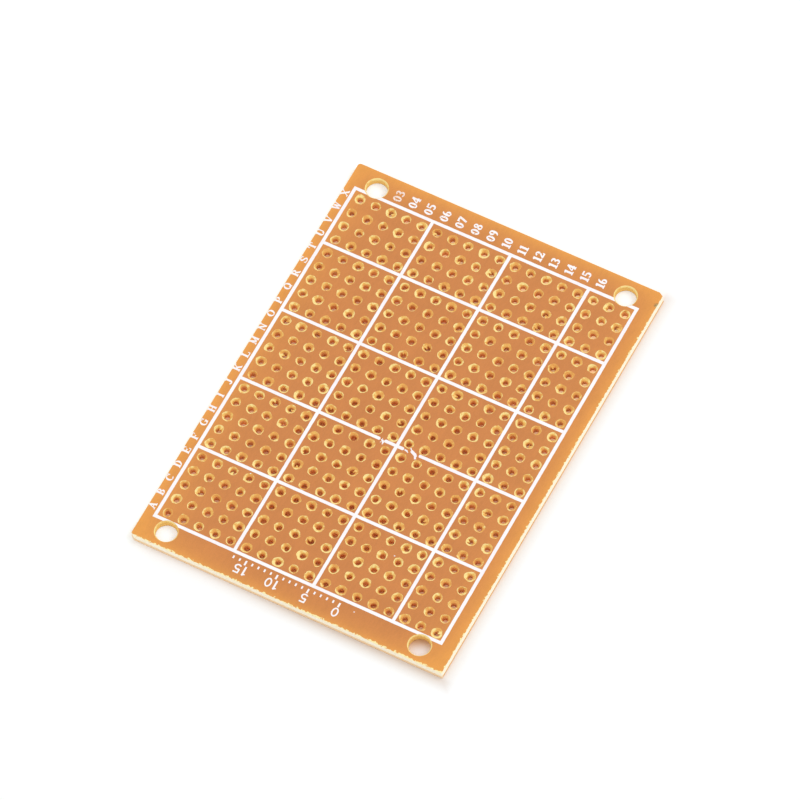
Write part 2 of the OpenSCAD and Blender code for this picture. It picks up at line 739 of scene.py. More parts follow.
@dataclass(frozen=True)
class BoreFinish(Finish):
    """The wall of a punched bore: resin-brown, in thin layers of paper, drawn lighter as painted light that
    stands for light coming through the translucent sheet.
    """

    name: str = "laminate_bore"
    relief: float = 0.02 * MM
    # painted light: both browns are lighter than the paper, for light that comes through the sheet
    brown: Colour = (250, 186, 120)
    dark: Colour = (236, 162, 98)

    def paint(self, surface: Surface) -> None:
        """Adds the layers.

        Args:
            surface: the material's nodes.
        """
        layers = surface.place.stretched(0.4, 0.4, 2.5).noise(0.2)
        tone = layers * 1.2 + surface.share(HOLES).out("Own") * 0.5
        surface.give("Base Color", surface.mix(tone.step(0.5, 1.2), self.brown, self.dark))
        surface.emboss(layers)


@dataclass(frozen=True)
class EdgeFinish(Finish):
    """The sides of the sheet. Two are broken, and their layers of paper show as bands."""

    name: str = "laminate_edge"
    roughness: float = 0.7
    specular: float = 0.25
    relief: float = 0.03 * MM
    skin: Colour = (236, 166, 84)
    cream: Colour = (255, 249, 232)
    yellow: Colour = (255, 242, 210)
    tips: Colour = (255, 246, 214)
    line: Colour = (240, 178, 92)
    tan: Colour = (246, 212, 168)
    clean: Colour = (235, 166, 80)
    clean_light: Colour = (244, 186, 100)

    def paint(self, surface: Surface) -> None:
        """Adds the bands by height, ragged on the broken sides.

        Args:
            surface: the material's nodes.
        """
        place = surface.place
        x, y, z = place.parts()
        shreds = place.stretched(1.0, 1.0, 1.6).noise(0.3, 3.0, 0.5)
        ragged = z + (shreds - 0.5) * 0.35
        wavy = z + (place.noise(1.5) - 0.5) * 0.2
        colour = surface.mix(shreds.step(0.42, 0.62), self.cream, self.yellow)
        colour = surface.mix(ragged.step(1.0, 1.12), colour, self.tips)
        colour = surface.mix(ragged.step(1.23, 1.27), colour, self.skin)
        tan = surface.mix(ragged.step(0.52, 0.66), self.tan, colour)
        colour = surface.mix(wavy.step(0.4, 0.48), self.line, colour)
        near = y.step(-34.2, -34.5)
        colour = surface.mix(near, colour, tan)
        broken = near.at_least(x.step(24.4, 24.7))
        clean = surface.mix(shreds.step(0.35, 0.7), self.clean, self.clean_light)
        surface.give("Base Color", surface.mix(broken, clean, colour))
        surface.emboss(shreds)


@dataclass(frozen=True)
class CopperFinish(Finish):
    """Bare copper foil under a thin, uneven tarnish."""

    name: str = "copper_foil"
    roughness: float = 0.32
    metallic: float = 1.0
    relief: float = 0.004 * MM
    bright: Colour = (232, 160, 120)
    tarnish: Colour = (186, 112, 76)

    def paint(self, surface: Surface) -> None:
        """Adds the tarnish and the marks of rolling.

        Args:
            surface: the material's nodes.
        """
        holes = surface.share(HOLES)
        blots = surface.place.noise(1.2, 3.0) * 0.9
        amount = (blots + holes.step(0.8, 0.97) * 0.35 + holes.out("Own") * 0.2).step(0.35, 1.0)
        surface.give("Base Color", surface.mix(amount, self.bright, self.tarnish))
        surface.give("Roughness", amount.ramp(0.0, 1.0, self.roughness - 0.06, self.roughness + 0.14))
        surface.emboss(surface.place.stretched(6.0, 0.3, 1.0).noise(0.5), 0.5)


@dataclass(frozen=True)
class InkFinish(Finish):
    """White screen-printed ink, a little uneven, that lets the laminate show where it is worn."""

    name: str = "white_ink"
    specular: float = 0.3
    white: Colour = (255, 254, 255)
    soft: Colour = (250, 243, 246)
    bare: Colour = (222, 158, 100)
    worn: float = 0.0

    def paint(self, surface: Surface) -> None:
        """Adds the mottling, and the gaps of worn ink.

        Args:
            surface: the material's nodes.
        """
        tone = surface.share(PAPER, 1.0)
        colour = surface.mix(tone.step(0.4, 0.66), self.white, self.soft)
        if self.worn:
            gaps = surface.place.noise(0.3, 3.0, 0.4).step(0.62 - self.worn, 0.72 - self.worn)
            colour = surface.mix(gaps, colour, self.bare)
        surface.give("Base Color", colour)
        surface.emboss(tone, 0.4)


# the laminate


class Zone(Enum):
    """Material slots of the laminate piece."""

    SKIN = 0
    TORN = 1
    BORE = 2
    EDGE = 3
    MOUNT = 4


@dataclass(frozen=True)
class Layer:
    """A layer of the sheet's sides: its height over the lower face, how far the broken sides and
    the whole ones stand back there, and how much the broken ones stray."""

    up: float
    broken: float = 0.0
    whole: float = 0.0
    stray: float = 0.0


def beyond(vert: bmesh.types.BMVert, axis: int, side: int, margin: float) -> bool:
    """Whether a vertex lies outside a line that runs a margin inside one of the board's sides."""
    return side * vert.co[axis] > (BOARD.width, BOARD.length)[axis] / 2 - margin


@dataclass
class Laminate:
    """The sheet with its punched holes, torn rims and broken edges."""

    segments: int = 24
    mount_segments: int = 56
    ring_depths: tuple[float, float, float] = (0.07 * MM, 0.19 * MM, 0.34 * MM)
    rim_wander: float = 0.026 * MM
    crater_stray: float = 0.26 * MM
    bore_stray: float = 0.3 * MM
    widest: float = BOARD.crater_large_r + 0.1 * MM
    corner_r: float = 0.45 * MM
    longest_edge: float = 0.42 * MM
    layers: tuple[Layer, ...] = (
        Layer(0.2 * MM),
        Layer(0.38 * MM, 0.012 * MM, stray=0.012 * MM),
        Layer(0.5 * MM),
        Layer(0.62 * MM, 0.05 * MM, stray=0.03 * MM),
        Layer(0.85 * MM, 0.07 * MM, stray=0.03 * MM),
        Layer(1.08 * MM, 0.12 * MM, stray=0.035 * MM),
        Layer(1.165 * MM, 0.15 * MM, 0.008 * MM, 0.04 * MM),
        Layer(1.2 * MM, 0.19 * MM, 0.03 * MM, 0.07 * MM),
    )

    def build(self) -> None:
        """Joins field, mounting holes and sides, and fills both faces between them."""
        piece = join(self.field(), *(self.mounting_hole(x, y) for x, y in BOARD.mounts()))
        self.tear_rims(piece)
        self.loosen_holes(piece)
        piece = join(piece, self.outline())
        edit(piece)
        for height in (BOARD.top_z, BOARD.foot_z):
            pick("EDGE", lambda e: len(e.link_faces) == 1 and all(level(v, height) for v in e.verts))
            bpy.ops.mesh.fill(use_beauty=True)
        merge(0.0001 * MM)
        face_outwards()
        self.dress(piece)
        close()
        finish_piece(piece, "laminate_sheet", "laminate", 25.0)

    def cell(self, crater_r: float, column: int, row: int) -> Piece:
        """One pitch of the hole field: both faces round a hole, and the hole's wall.

        Args:
            crater_r: radius of the crater's rim.
            column: column of the hole.
            row: row of the hole.

        Returns:
            The cell, open along its four sides.
        """
        bore_r, foot = BOARD.hole_r, BOARD.foot_z
        centre = (*BOARD.hole(column, row), BOARD.top_z)
        piece = add_ring(crater_r, self.segments, centre)
        self.square_off(crater_r, centre)
        pick("EDGE", lambda e: all((v.co - Vector(centre)).length < crater_r + NEAR for v in e.verts))
        radii = (crater_r - 0.1 * MM, bore_r + 0.06 * MM, bore_r - 0.03 * MM)
        rings = [(radius, BOARD.top_z - depth) for radius, depth in zip(radii, self.ring_depths)]
        sink(crater_r, centre, [*rings, (bore_r, foot)])
        self.square_off(bore_r, (*centre[:2], foot))
        close()
        return piece

    def square_off(self, radius: float, centre: Place) -> None:
        """Widens the selected circle of edges to the square of one pitch.

        Args:
            radius: the circle's radius.
            centre: the circle's centre.
        """
        half = BOARD.pitch / 2
        extrude(0.0)
        grown = half * math.sqrt(2) / radius
        scale(grown, grown, 1, centre)
        for axis in (0, 1):
            for side in (-1, 1):
                border = centre[axis] + side * half
                pick("VERT", lambda v: level(v, centre[2]) and (v.co[axis] - border) * side > -NEAR)
                flatten(axis, border)

    def field(self) -> Piece:
        """All the lead holes, as an array of two by two cells.

        Returns:
            The field, with free edges all round.
        """
        small, large = BOARD.crater_small_r, BOARD.crater_large_r
        cells = ((small, 0, 0), (large, 1, 0), (large, 0, 1), (small, 1, 1))
        piece = join(*(self.cell(*cell) for cell in cells))
        for axis, count in enumerate((BOARD.columns // 2, BOARD.rows // 2)):
            modifier = piece.modifiers.new("repeat", "ARRAY")
            modifier.use_relative_offset = False
            modifier.use_constant_offset = True
            modifier.constant_offset_displace = [2 * BOARD.pitch * (i == axis) for i in range(3)]
            modifier.count = count
            bpy.ops.object.modifier_apply(modifier=modifier.name)
        edit(piece)
        merge(0.002 * MM)
        self.make_room_for_mounts()
        close()
        return piece

    def make_room_for_mounts(self) -> None:
        """Draws the field's free edge in beside each mounting hole."""
        border = BOARD.rows * BOARD.pitch / 2
        for x, y in BOARD.mounts():
            end = math.copysign(1.0, y)
            for near, far, shift in ((-0.1, 0.5, 0.33), (0.5, 1.0, 0.14)):
                beside = lambda v: near * MM < abs(v.co.x - x) < far * MM
                pick("VERT", lambda v: abs(v.co.y * end - border) < NEAR and beside(v))
                move(y=-end * shift * MM)

    def mounting_hole(self, x: float, y: float) -> Piece:
        """The wall of a mounting hole with its torn lip.

        Args:
            x: place of the hole.
            y: place of the hole.

        Returns:
            The wall, open at both ends.
        """
        top, radius = BOARD.top_z, BOARD.mount_r
        lip_r = radius + BOARD.lip_w
        piece = add_ring(lip_r, self.mount_segments, (x, y, top))
        lip = ((radius + 0.09 * MM, top - 0.065 * MM), (radius, top - BOARD.lip_t))
        sink(lip_r, (x, y, top), (*lip, (radius, top - 0.65 * MM), (radius, BOARD.foot_z)))
        close()
        return piece

    def outline(self) -> Piece:
        """The sides of the sheet, built up from the lower face in layers.

        Returns:
            The sides, open above and below.
        """
        piece = add_square()
        edit(piece)
        scale(BOARD.width, BOARD.length, 1)
        move(z=BOARD.foot_z)
        bpy.ops.mesh.delete(type="ONLY_FACE")
        self.chip_corner(-1, 1, self.corner_r, self.corner_r, 6)
        self.chip_corner(1, 1, 0.85 * MM, 0.55 * MM)
        self.chip_corner(-1, -1, 0.6 * MM, 0.45 * MM)
        split_long_edges(self.longest_edge)
        pick_all()
        below = Layer(0.0)
        for layer in self.layers:
            extrude(layer.up - below.up)
            height = BOARD.foot_z + layer.up
            broken, whole = layer.broken - below.broken, layer.whole - below.whole
            for axis, side, inset in ((0, 1, broken), (1, -1, broken), (0, -1, whole), (1, 1, whole)):
                if inset:
                    pick("VERT", lambda v: level(v, height) and beyond(v, axis, side, 0.2 * MM))
                    move(*(-side * inset * (i == axis) for i in (0, 1)))
            pick("EDGE", lambda e: all(level(v, height) for v in e.verts))
            below = layer
        for count, layer in enumerate(self.layers):
            height = BOARD.foot_z + layer.up
            on_broken = lambda v: beyond(v, 0, 1, 0.3 * MM) or beyond(v, 1, -1, 0.3 * MM)
            if layer.stray:
                pick("VERT", lambda v: level(v, height) and on_broken(v))
                stray(layer.stray, seed=11 + count)
                flatten(2, height)
        close()
        return piece

    def chip_corner(self, side: int, end: int, width: float, length: float, steps: int = 1) -> None:
        """Takes the tip off a corner of the open outline.

        Args:
            side: 1 for the right corners, -1 for the left ones.
            end: 1 for the far corners, -1 for the near ones.
            width: what is taken off along x.
            length: what is taken off along y.
            steps: edges of the cut; more than one rounds it.
        """
        corner = Vector((side * BOARD.width / 2, end * BOARD.length / 2, BOARD.foot_z))
        pick("VERT", lambda v: (v.co - corner).length < NEAR)
        bpy.ops.mesh.bevel(offset=width, segments=steps, affect="VERTICES")
        if length != width:
            at_side = lambda v: abs(v.co.x - corner.x) < NEAR
            pick("VERT", lambda v: at_side(v) and (v.co - corner).length < width + 10 * NEAR)
            move(y=end * (width - length))

    def tear_rims(self, piece: Piece) -> None:
        """Makes the rims of all holes ragged, and the torn paper inside them uneven.

        Args:
            piece: the holes.
        """
        lead_r = BOARD.crater_large_r + 0.02 * MM
        mount_r = BOARD.mount_r + BOARD.lip_w + 0.02 * MM
        at_rim = lambda v: BOARD.off_lead_hole(v.co) < lead_r or BOARD.off_mount(v.co) < mount_r
        edit(piece)
        for depth, share, seed in zip((0.0, *self.ring_depths), (1.0, 0.9, 0.7, 0.5), (3, 4, 6, 7)):
            height = BOARD.top_z - depth
            pick("VERT", lambda v: level(v, height) and at_rim(v))
            stray(share * self.rim_wander, seed)
            if not depth:
                flatten(2, height)
        close()

    def loosen_holes(self, piece: Piece) -> None:
        """Lets the craters stray from true circles, and the bores from the craters' middles.

        Args:
            piece: the holes.
        """
        top, parting = BOARD.top_z, BOARD.top_z - 0.1 * MM
        for name, low, high, reach, grain in (
            ("craters", parting, top + 0.1 * MM, self.crater_stray, 0.8 * MM),
            ("bores", top - 0.5 * MM, parting, self.bore_stray, 1.7 * MM),
        ):
            edit(piece)
            pick("VERT", lambda v: low < v.co.z < high and BOARD.off_lead_hole(v.co) < self.widest)
            bpy.ops.object.vertex_group_add()
            piece.vertex_groups.active.name = name
            bpy.ops.object.vertex_group_assign()
            close()
            wander(piece, reach, grain, name, name)
        only(piece)
        bpy.ops.object.vertex_group_remove(all=True)

    def dress(self, piece: Piece) -> None:
        """Gives each zone of the open mesh its finish. A later zone takes faces from an earlier one.

        Args:
            piece: the sheet.
        """
        lip = TornFinish(name="laminate_torn_wide", gold=(252, 222, 144), deep=(246, 204, 120))
        for finish in (SkinFinish(), TornFinish(), BoreFinish(), EdgeFinish(), lip):
            piece.data.materials.append(finish.build())
        throat = BOARD.top_z - 0.3 * MM
        wall = lambda f: abs(f.normal.z) < 0.98
        at_mount = lambda f: wall(f) and BOARD.off_mount(f.calc_center_median()) < 1.9 * MM
        in_hole = lambda f: wall(f) and BOARD.off_lead_hole(f.calc_center_median()) < self.widest
        in_bore = lambda f: in_hole(f) and f.calc_center_median().z < throat
        zones = {Zone.EDGE: wall, Zone.MOUNT: at_mount, Zone.TORN: in_hole, Zone.BORE: in_bore}
        for zone, test in zones.items():
            pick("FACE", test)
            piece.active_material_index = zone.value
            bpy.ops.object.material_slot_assign()


@dataclass
class Shreds:
    """Curled flaps of torn paper that still hang in some of the holes."""

    count: int = 40
    length: float = 0.5 * MM
    width: float = 0.5 * MM
    thickness: float = 0.12 * MM
    seed: int = 5

    def flap(self) -> Piece:
        """One flap, lying along x with its root at the origin and its tip bent down.

        Returns:
            The flap.
        """
        piece = add_square()
        edit(piece)
        scale(self.length, self.width, 1)
        move(x=-self.length / 2)
        bpy.ops.mesh.subdivide(number_cuts=3)
        for share, down, narrow in ((0.24, 0.01, 0.95), (0.48, 0.045, 0.8), (0.72, 0.1, 0.5)):
            pick("VERT", lambda v: v.co.x < -share * self.length)
            move(z=-down * MM)
            scale(1, narrow, 1)
        pick_all()
        stray(0.025 * MM, seed=3)
        extrude(-self.thickness)
        face_outwards()
        close()
        return piece

    def build(self) -> None:
        """Hangs copies of the flap in a random choice of holes."""
        draw = random.Random(self.seed)
        first = self.flap()
        holes = [BOARD.hole(column, row) for column in range(BOARD.columns) for row in range(BOARD.rows)]
        copies = []
        for x, y in draw.sample(holes, self.count):
            only(first)
            bpy.ops.object.duplicate()
            piece = bpy.context.object
            angle = draw.uniform(0, 2 * math.pi)
            off = draw.uniform(0.6, 0.68) * MM
            size = draw.uniform(0.75, 1.25)
            piece.rotation_euler = (draw.uniform(-0.3, 0.3), draw.uniform(-0.1, 0.35), angle)
            piece.scale = (size, draw.uniform(0.8, 1.4), 1)
            z = BOARD.top_z - draw.uniform(0.13, 0.22) * MM
            piece.location = (x + off * math.cos(angle), y + off * math.sin(angle), z)
            copies.append(piece)
        only(first)
        bpy.ops.object.delete()
        piece = join(*copies)
        finish = TornFinish(name="laminate_shreds", gold=(252, 214, 130), deep=(240, 180, 96))
        piece.data.materials.append(finish.build())
        finish_piece(piece, "torn_shreds")


# the print


@dataclass(frozen=True)
class Ragged:
    """How ragged an outline of ink is: a name for its noise patterns, the longest edge that it
    keeps, how far it strays to each side, and the size of the waves in it."""

    name: str
    longest: float
    reach: float
    grain: float


def split_long_edges(longest: float) -> None:
    """Halves edges of the open mesh until none is longer than a length."""
    while pick("EDGE", lambda e: e.calc_length() > longest):
        bpy.ops.mesh.subdivide(number_cuts=1)


def keep_outlines() -> None:
    """Leaves only the outlines of the upper faces of the open mesh."""
    pick("FACE", lambda f: f.normal.z > 0.9)
    bpy.ops.mesh.region_to_loop()
    bpy.ops.mesh.select_all(action="INVERT")
    bpy.ops.mesh.delete(type="EDGE")
    pick_all()
    bpy.ops.mesh.delete(type="ONLY_FACE")
    pick_all()
    bpy.ops.mesh.delete_loose(use_verts=True, use_edges=False, use_faces=False)


def lay_ink(piece: Piece, ragged: Ragged) -> None:
    """Makes a skin of ink from flat outlines that lie at the ink's height.

    Args:
        piece: the outlines, in object mode.
        ragged: how ragged they become.
    """
    sunk = 0.002 * MM
    edit(piece)
    split_long_edges(ragged.longest)
    close()
    wander(piece, ragged.reach, ragged.grain, ragged.name)
    edit(piece)
    pick_all()
    # a fill merges points nearer than 0.03, so they are enlarged meanwhile
    scale(1 / MM, 1 / MM, 1 / MM)
    bpy.ops.mesh.fill(use_beauty=True)
    scale(MM, MM, MM)
    flatten(2, BOARD.top_z + BOARD.ink_t)
    extrude(-BOARD.ink_t - sunk)
    face_outwards()
    close()
    piece.data.materials.clear()


def print_strokes(
    strokes: Sequence[Piece], ragged: Ragged, size: Place, at: Place = (0, 0, 0), turn: float = 0.0
) -> Piece:
    """Makes one skin of ink from flat strokes, whether they overlap or not.

    Args:
        strokes: the strokes, which are used up.
        ragged: how ragged their outline becomes.
        size: what the strokes are scaled by.
        at: where their origin is put.
        turn: how far they are turned, in degrees.

    Returns:
        The skin.
    """
    piece = join(*strokes)
    settle(piece)
    edit(piece)
    pick_all()
    extrude(0.2)
    face_outwards()
    bpy.ops.mesh.intersect_boolean(operation="UNION", use_self=True, solver="EXACT")
    close()
    piece.rotation_euler = (0, 0, math.radians(turn))
    piece.scale = size
    piece.location = at
    settle(piece)
    edit(piece)
    keep_outlines()
    pick_all()
    flatten(2, 0.0)
    move(z=BOARD.top_z + BOARD.ink_t)
    close()
    lay_ink(piece, ragged)
    return piece


@dataclass
class PrintedGrid:
    """The printed frame and block lines, with uneven edges, and what is left where they wore off."""

    ragged: Ragged = Ragged("print", 0.25 * MM, 0.035 * MM, 0.7 * MM)
    worn_from: tuple[float, float] = (-0.9 * MM, -5.4 * MM)
    worn_to: tuple[float, float] = (6.1 * MM, -4.6 * MM)
    crossing_x: float = 2.14 * MM

    def build(self) -> None:
        """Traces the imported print's outlines, roughens them and fills them again."""
        only(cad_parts["printed_grid"])
        bpy.ops.object.duplicate()
        piece = bpy.context.object
        for tie in list(piece.constraints):
            piece.constraints.remove(tie)
        edit(piece)
        merge(0.001 * MM)
        keep_outlines()
        pick("VERT", self.at_worn_end)
        bpy.ops.mesh.bevel(offset=0.2 * MM, segments=3, affect="VERTICES")
        close()
        lay_ink(piece, self.ragged)
        piece.data.materials.append(InkFinish().build())
        finish_piece(piece, "printed_frame_and_blocks", "printed_grid")

    def at_worn_end(self, vert: bmesh.types.BMVert) -> bool:
        """Whether a vertex is at an end of the line where the ink came off beside the crossing."""
        inside = all(low < c < high for low, c, high in zip(self.worn_from, vert.co, self.worn_to))
        return inside and abs(vert.co.x - self.crossing_x) > 0.5 * MM


@dataclass(frozen=True)
class Bar:
    """A straight stroke from one point to another, and its width."""

    x0: float
    y0: float
    x1: float
    y1: float
    w: float

    def draw(self, weight: float) -> Piece:
        """Draws the stroke as a flat face.

        Args:
            weight: what the width is multiplied by.

        Returns:
            The face.
        """
        across, along = self.x1 - self.x0, self.y1 - self.y0
        middle = ((self.x0 + self.x1) / 2, (self.y0 + self.y1) / 2, 0)
        piece = add_square(location=middle, rotation=(0, 0, math.atan2(along, across)))
        piece.scale = (math.hypot(across, along), self.w * weight, 1)
        return piece


@dataclass(frozen=True)
class Bow:
    """A curved stroke on an ellipse: centre, reach to its outer rim, first and last angle, and its
    thickness at the sides and at the top and bottom."""

    x: float
    y: float
    rx: float
    ry: float
    first: float = 0.0
    last: float = 360.0
    side: float = 0.19
    end: float = 0.09

    def draw(self, weight: float) -> Piece:
        """Draws the stroke as a flat band.

        Args:
            weight: what the thickness is multiplied by.

        Returns:
            The band.
        """
        piece = add_ring(1.0, 32, (0, 0, 0))
        sweep = self.last - self.first
        if sweep < 360:
            angle = lambda v: math.degrees(math.atan2(v.co.y, v.co.x)) - self.first
            pick("VERT", lambda v: (angle(v) + 0.5) % 360 > sweep + 1)
            bpy.ops.mesh.delete(type="VERT")
        pick_all()
        extrude(0.0)
        scale(1 - self.side * weight / self.rx, 1 - self.end * weight / self.ry, 1)
        pick_all()
        scale(self.rx, self.ry, 1)
        close()
        piece.location = (self.x, self.y, 0)
        return piece


def stem(x: float, w: float = 0.2, low: float = 0.0, high: float = 1.0) -> Bar:
    """An upright stroke."""
    return Bar(x, low, x, high, w)


def beam(x0: float, x1: float, y: float, w: float = 0.08) -> Bar:
    """A level stroke."""
    return Bar(x0, y, x1, y, w)


def serif(x: float, y: float, reach: float = 0.17, w: float = 0.085) -> Bar:
    """A flat serif, at the foot of a sign where y is 0 and at its head where y is 1."""
    return beam(x - reach, x + reach, y + (0.5 - y) * w, w)


THIN = 0.09
THICK = 0.19
ROUND = (0.43, 0.5, 0.42, 0.5)
SIGNS: dict[str, tuple[Bar | Bow, ...]] = {
    "A": (Bar(0.15, 0.04, 0.42, 0.98, THIN), Bar(0.4, 0.98, 0.68, 0.04, THICK),
          beam(0.25, 0.58, 0.34, THIN), serif(0.15, 0, 0.15), serif(0.69, 0)),
    "B": (stem(0.2), Bow(0.36, 0.745, 0.3, 0.255, -90, 90), Bow(0.36, 0.27, 0.36, 0.27, -90, 90),
          beam(0.02, 0.38, 0.96), beam(0.2, 0.38, 0.51), beam(0.02, 0.38, 0.04)),
    "C": (Bow(*ROUND, 45, 315), stem(0.74, THIN, 0.64, 0.98)),
    "D": (stem(0.2), Bow(0.36, 0.5, 0.42, 0.5, -90, 90), serif(0.2, 0, 0.2), serif(0.2, 1, 0.2)),
    "E": (stem(0.2), beam(0.02, 0.7, 0.955, THIN), beam(0.2, 0.5, 0.5, THIN), beam(0.02, 0.74, 0.045, THIN),
          stem(0.68, 0.08, 0.7), stem(0.5, 0.07, 0.38, 0.62), stem(0.72, 0.08, 0, 0.32)),
    "F": (stem(0.2), beam(0.02, 0.7, 0.955, THIN), beam(0.2, 0.5, 0.5, THIN), serif(0.2, 0, 0.19),
          stem(0.68, 0.08, 0.7), stem(0.5, 0.07, 0.38, 0.62)),
    "G": (Bow(*ROUND, 45, 325), stem(0.74, THIN, 0.66, 0.98), stem(0.7, 0.18, 0.04, 0.42),
          beam(0.52, 0.88, 0.42)),
    "H": (stem(0.2), stem(0.66), beam(0.2, 0.66, 0.5, THIN), serif(0.2, 0), serif(0.66, 0),
          serif(0.2, 1), serif(0.66, 1)),
    "I": (stem(0.4), serif(0.4, 0, 0.2), serif(0.4, 1, 0.2)),
    "J": (stem(0.5, 0.2, 0.25), Bow(0.34, 0.26, 0.26, 0.26, 180, 360, 0.19, 0.1), serif(0.5, 1, 0.2)),
    "K": (stem(0.2), Bar(0.26, 0.42, 0.68, 0.96, THIN), Bar(0.38, 0.6, 0.7, 0.04, THICK),
          serif(0.2, 0), serif(0.2, 1), serif(0.7, 0, 0.16), serif(0.68, 1, 0.14)),
    "L": (stem(0.22), serif(0.22, 1, 0.2), beam(0.03, 0.74, 0.045, THIN), stem(0.72, 0.08, 0, 0.34)),
    "M": (stem(0.14, 0.1), stem(0.74), Bar(0.14, 0.96, 0.43, 0.12, 0.17), Bar(0.43, 0.1, 0.74, 0.96, THIN),
          serif(0.12, 0, 0.13), serif(0.74, 0, 0.15), serif(0.1, 1, 0.11), serif(0.76, 1, 0.14)),
    "N": (stem(0.15, 0.1), stem(0.7, 0.1), Bar(0.15, 0.95, 0.7, 0.06, THICK), serif(0.15, 0, 0.15),
          serif(0.1, 1, 0.12), serif(0.7, 1, 0.15)),
    "O": (Bow(*ROUND),),
    "P": (stem(0.2), Bow(0.38, 0.72, 0.34, 0.28, -90, 90), beam(0.02, 0.4, 0.96), beam(0.2, 0.4, 0.48),
          serif(0.2, 0, 0.19)),
    "Q": (Bow(*ROUND), Bar(0.42, 0.26, 0.74, 0.0, 0.12)),
    "R": (stem(0.2), Bow(0.38, 0.73, 0.32, 0.27, -90, 90), beam(0.02, 0.4, 0.96), beam(0.2, 0.4, 0.5),
          Bar(0.42, 0.5, 0.72, 0.04, 0.18), serif(0.2, 0), serif(0.74, 0, 0.13)),
    "S": (Bow(0.4, 0.735, 0.31, 0.265, 25, 250, 0.17), Bow(0.42, 0.275, 0.34, 0.275, -155, 70, 0.18),
          Bar(0.24, 0.62, 0.6, 0.4, 0.17), stem(0.68, 0.08, 0.7), stem(0.12, 0.08, 0, 0.32)),
    "T": (stem(0.42), beam(0.04, 0.8, 0.95, 0.1), stem(0.07, THIN, 0.66), stem(0.77, THIN, 0.66),
          serif(0.42, 0, 0.19)),
    "U": (stem(0.2, 0.2, 0.28), stem(0.7, 0.1, 0.28), Bow(0.425, 0.3, 0.325, 0.3, 180, 360, 0.19, 0.1),
          serif(0.2, 1), serif(0.7, 1, 0.14)),
    "V": (Bar(0.14, 0.97, 0.43, 0.02, THICK), Bar(0.43, 0.02, 0.7, 0.97, THIN),
          serif(0.15, 1, 0.16), serif(0.7, 1, 0.14)),
    "W": (Bar(0.08, 0.97, 0.27, 0.02, 0.17), Bar(0.27, 0.02, 0.45, 0.9, THIN),
          Bar(0.42, 0.95, 0.62, 0.02, 0.17), Bar(0.62, 0.02, 0.8, 0.97, THIN),
          serif(0.1, 1, 0.13), serif(0.8, 1, 0.11)),
    "X": (Bar(0.14, 0.96, 0.7, 0.04, THICK), Bar(0.14, 0.04, 0.7, 0.96, THIN),
          serif(0.14, 0, 0.14), serif(0.14, 1, 0.15), serif(0.7, 0, 0.15), serif(0.7, 1, 0.14)),
    "0": (Bow(0.34, 0.5, 0.34, 0.5, end=0.12),),
    "1": (stem(0.3), Bar(0.08, 0.83, 0.3, 0.94, 0.12), serif(0.3, 0, 0.24, 0.1)),
    "2": (Bow(0.32, 0.71, 0.31, 0.29, -40, 172, end=0.1), Bar(0.5, 0.52, 0.12, 0.12, 0.14),
          beam(0.04, 0.64, 0.07, 0.14), stem(0.61, 0.08, 0.02, 0.27)),
    "3": (Bow(0.32, 0.745, 0.29, 0.255, -90, 160), Bow(0.32, 0.28, 0.34, 0.28, -160, 90),
          beam(0.22, 0.34, 0.52, THIN)),
    "4": (stem(0.47), Bar(0.47, 0.97, 0.05, 0.32, 0.1), beam(0.02, 0.68, 0.29, 0.11), serif(0.47, 0, 0.19)),
    "5": (beam(0.12, 0.6, 0.93, 0.14), stem(0.14, THIN, 0.98, 0.5),
          Bow(0.32, 0.32, 0.34, 0.32, -155, 140, end=0.1)),
    "6": (Bow(0.36, 0.5, 0.35, 0.5, 70, 290), Bow(0.35, 0.3, 0.32, 0.3, side=0.18)),
    "7": (beam(0.04, 0.66, 0.92, 0.16), Bar(0.58, 0.9, 0.28, 0.0, THICK), stem(0.07, THIN, 0.7)),
    "8": (Bow(0.34, 0.745, 0.28, 0.255, side=0.16), Bow(0.34, 0.275, 0.34, 0.275, side=0.18)),
    "9": (Bow(0.32, 0.5, 0.35, 0.5, -110, 110), Bow(0.33, 0.7, 0.32, 0.3, side=0.18)),
    # signs of the plain scale: a long and a short tick, and its digits
    "|": (stem(0, 0.2, 0, 0.5),),
    "!": (stem(0, 0.18, 0, 0.3),),
    "o": (Bow(0.34, 0.5, 0.34, 0.5, side=0.16, end=0.16),),
    "i": (stem(0.36, 0.19), Bar(0.12, 0.8, 0.36, 0.9, 0.14)),
    "s": (beam(0.1, 0.62, 0.92, 0.16), Bar(0.13, 0.98, 0.1, 0.5, 0.15),
          Bow(0.32, 0.32, 0.35, 0.32, -155, 135, side=0.16, end=0.16)),
}
ADVANCE = 0.74
NARROW = {"1": 0.58, "I": 0.8, "J": 0.8}


@dataclass(frozen=True)
class Word:
    """Signs that are printed side by side, and where the foot of the first one starts."""

    signs: str
    x: float
    y: float
    weight: float = 1.0


@dataclass
class Lettering:
    """Printed signs of one kind: each is built from strokes and shares height, turn and finish."""

    name: str
    words: Sequence[Word]
    height: float = 1.33 * MM
    wide: float = 1.0
    turn: float = 90.0
    finish: InkFinish = InkFinish()
    ragged: Ragged = Ragged("lettering", 0.1 * MM, 0.022 * MM, 0.22 * MM)

    def build(self) -> None:
        """Builds all words and lays the ink."""
        piece = join(*[self.word(word) for word in self.words])
        piece.data.materials.append(self.finish.build())
        finish_piece(piece, self.name)

    def word(self, word: Word) -> Piece:
        """Prints one word.

        Args:
            word: what it says and where it stands.

        Returns:
            The word, its strokes made one.
        """
        strokes = []
        at = 0.0
        for sign in word.signs:
            for stroke in SIGNS[sign]:
                piece = stroke.draw(word.weight)
                piece.location.x += at
                strokes.append(piece)
            at += NARROW.get(sign, ADVANCE)
        size = (self.height * self.wide, self.height, self.height)
        return print_strokes(strokes, self.ragged, size, (word.x, word.y, 0), self.turn)


